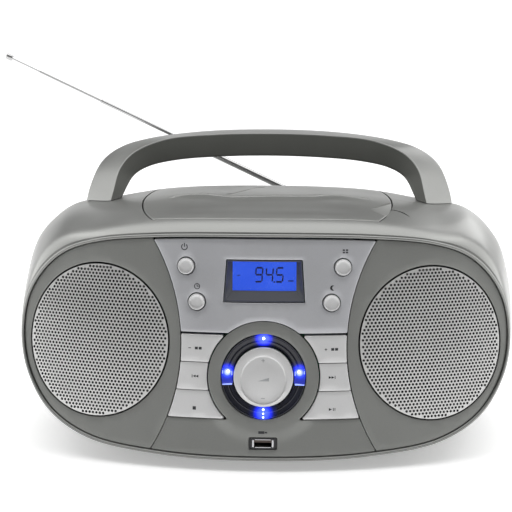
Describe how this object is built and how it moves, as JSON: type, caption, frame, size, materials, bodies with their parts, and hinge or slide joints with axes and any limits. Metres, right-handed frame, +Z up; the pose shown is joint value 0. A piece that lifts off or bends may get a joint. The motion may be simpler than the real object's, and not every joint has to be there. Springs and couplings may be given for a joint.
{
  "type": "portable cd and radio player",
  "caption": "Portable CD and radio player with an oval case, round speakers, a top-loading disc lid, a fixed carrying handle and a telescopic aerial.",
  "frame": {"origin": "middle of the underside of the whole box, on the surface that the feet stand on, with the aerial pulled out as in the picture", "axes": "+X to the right seen from the front, +Y to the back, +Z up; the case is symmetric about x = 0.0138 m"},
  "size_m": [0.328, 0.2156, 0.2252],
  "materials": {
    "titan_paint": "satin metallic paint on moulded plastic",
    "silver_paint": "satin silver paint on moulded plastic",
    "screen_bezel": "dark satin moulded plastic",
    "key_silver": "satin silver painted keys",
    "grip_paint": "dark satin grey paint",
    "grille_metal": "perforated silver sheet",
    "gloss_black": "polished black",
    "blue_screen": "backlit liquid crystal panel",
    "clear_plastic": "clear polished plastic",
    "chrome": "polished plated tube",
    "steel": "plain steel",
    "black_plastic": "fine grained black",
    "cone_paper": "pressed paper cone",
    "circuit_board": "green solder mask",
    "transformer": "varnished core and winding",
    "rubber": "matte black rubber"
  },
  "bodies": {
    "case": {"front_housing": "titan_paint", "rear_housing": "titan_paint", "upper_fascia": "silver_paint", "lower_fascia": "titan_paint", "light_ring": "gloss_black", "display_bezel": "screen_bezel", "display_window": "clear_plastic", "display_module": "blue_screen", "key_board": "circuit_board", "front_panel_left": "titan_paint", "front_panel_right": "titan_paint", "speaker_grille_left": "grille_metal", "speaker_grille_right": "grille_metal", "speaker_frame_left": "steel", "speaker_frame_right": "steel", "speaker_cone_left": "cone_paper", "speaker_cone_right": "cone_paper", "speaker_magnet_left": "steel", "speaker_magnet_right": "steel", "guide_rail_left": "steel", "guide_rail_right": "steel", "rear_screw_left": "steel", "rear_screw_right": "steel", "usb_shell": "steel", "usb_tongue": "black_plastic", "cd_deck": "black_plastic", "lid_hinge_pin": "steel", "spindle_motor": "steel", "main_board": "circuit_board", "power_transformer": "transformer", "battery_tray": "black_plastic", "ac_inlet": "black_plastic", "foot_front_left": "rubber", "foot_front_right": "rubber", "foot_rear_left": "rubber", "foot_rear_right": "rubber", "handle_top_shell": "titan_paint", "handle_grip_shell": "grip_paint"},
    "cd_lid": {"cd_lid": "titan_paint"},
    "volume_rocker": {"volume_rocker": "key_silver"},
    "spindle": {"spindle_hub": "black_plastic"},
    "laser_pickup": {"laser_pickup": "black_plastic"},
    "battery_door": {"battery_door": "titan_paint"},
    "aerial_swivel": {"aerial_swivel": "black_plastic"},
    "function_button": {"function_button": "key_silver"},
    "clock_button": {"clock_button": "key_silver"},
    "mode_button": {"mode_button": "key_silver"},
    "sleep_button": {"sleep_button": "key_silver"},
    "preset_down_button": {"preset_down_button": "key_silver"},
    "skip_back_button": {"skip_back_button": "key_silver"},
    "stop_button": {"stop_button": "key_silver"},
    "preset_up_button": {"preset_up_button": "key_silver"},
    "skip_forward_button": {"skip_forward_button": "key_silver"},
    "play_pause_button": {"play_pause_button": "key_silver"},
    "aerial_stage_1": {"aerial_stage_1": "chrome"},
    "aerial_stage_2": {"aerial_stage_2": "chrome"},
    "aerial_stage_3": {"aerial_stage_3": "chrome"},
    "aerial_stage_4": {"aerial_stage_4": "chrome"},
    "aerial_stage_5": {"aerial_stage_5": "chrome"}
  },
  "joints": [
    {"name": "lid_hinge", "type": "hinge", "parent": "case", "child": "cd_lid", "pos_m": [0.01321, 0.05344, 0.1397], "axis": [-1, 0, 0], "range_deg": [0, 40]},
    {"name": "volume_rock", "type": "hinge", "parent": "case", "child": "volume_rocker", "pos_m": [0.01321, -0.09397, 0.05217], "axis": [1, 0, 0], "range_deg": [-2.5, 2.5], "stiffness_Nm_per_rad": 1},
    {"name": "spindle_spin", "type": "hinge", "parent": "case", "child": "spindle", "pos_m": [0.01321, -0.01016, 0.121], "axis": [0, 0, 1], "continuous": true},
    {"name": "pickup_travel", "type": "slide", "parent": "case", "child": "laser_pickup", "axis": [0, 1, 0], "range_m": [0, 0.029]},
    {"name": "battery_door_hinge", "type": "hinge", "parent": "case", "child": "battery_door", "pos_m": [0.01321, 0.10784, 0.019], "axis": [-1, 0, 0], "range_deg": [0, 95]},
    {"name": "aerial_turn", "type": "hinge", "parent": "case", "child": "aerial_swivel", "pos_m": [0.05321, 0.09984, 0.1218], "axis": [0, 0, 1], "range_deg": [-180, 0]},
    {"name": "aerial_tilt", "type": "hinge", "parent": "aerial_swivel", "child": "aerial_stage_1", "pos_m": [0.05321, 0.09984, 0.1218], "axis": [0, 1, 0], "range_deg": [-25, 64.5]},
    {"name": "aerial_slide_2", "type": "slide", "parent": "aerial_stage_1", "child": "aerial_stage_2", "axis": [-0.9048, 0, 0.4258], "range_m": [-0.023, 0.022]},
    {"name": "aerial_slide_3", "type": "slide", "parent": "aerial_stage_2", "child": "aerial_stage_3", "axis": [-0.9048, 0, 0.4258], "range_m": [-0.057, 0]},
    {"name": "aerial_slide_4", "type": "slide", "parent": "aerial_stage_3", "child": "aerial_stage_4", "axis": [-0.9048, 0, 0.4258], "range_m": [-0.044, 0]},
    {"name": "aerial_slide_5", "type": "slide", "parent": "aerial_stage_4", "child": "aerial_stage_5", "axis": [-0.9048, 0, 0.4258], "range_m": [-0.018, 0.025]},
    {"name": "function_press", "type": "slide", "parent": "case", "child": "function_button", "axis": [0, 1, 0], "range_m": [0, 0.001], "stiffness_N_per_m": 500},
    {"name": "clock_press", "type": "slide", "parent": "case", "child": "clock_button", "axis": [0, 1, 0], "range_m": [0, 0.001], "stiffness_N_per_m": 500},
    {"name": "mode_press", "type": "slide", "parent": "case", "child": "mode_button", "axis": [0, 1, 0], "range_m": [0, 0.001], "stiffness_N_per_m": 500},
    {"name": "sleep_press", "type": "slide", "parent": "case", "child": "sleep_button", "axis": [0, 1, 0], "range_m": [0, 0.001], "stiffness_N_per_m": 500},
    {"name": "preset_down_press", "type": "slide", "parent": "case", "child": "preset_down_button", "axis": [0, 1, 0], "range_m": [0, 0.001], "stiffness_N_per_m": 500},
    {"name": "skip_back_press", "type": "slide", "parent": "case", "child": "skip_back_button", "axis": [0, 1, 0], "range_m": [0, 0.001], "stiffness_N_per_m": 500},
    {"name": "stop_press", "type": "slide", "parent": "case", "child": "stop_button", "axis": [0, 1, 0], "range_m": [0, 0.001], "stiffness_N_per_m": 500},
    {"name": "preset_up_press", "type": "slide", "parent": "case", "child": "preset_up_button", "axis": [0, 1, 0], "range_m": [0, 0.001], "stiffness_N_per_m": 500},
    {"name": "skip_forward_press", "type": "slide", "parent": "case", "child": "skip_forward_button", "axis": [0, 1, 0], "range_m": [0, 0.001], "stiffness_N_per_m": 500},
    {"name": "play_pause_press", "type": "slide", "parent": "case", "child": "play_pause_button", "axis": [0, 1, 0], "range_m": [0, 0.001], "stiffness_N_per_m": 500}
  ]
}
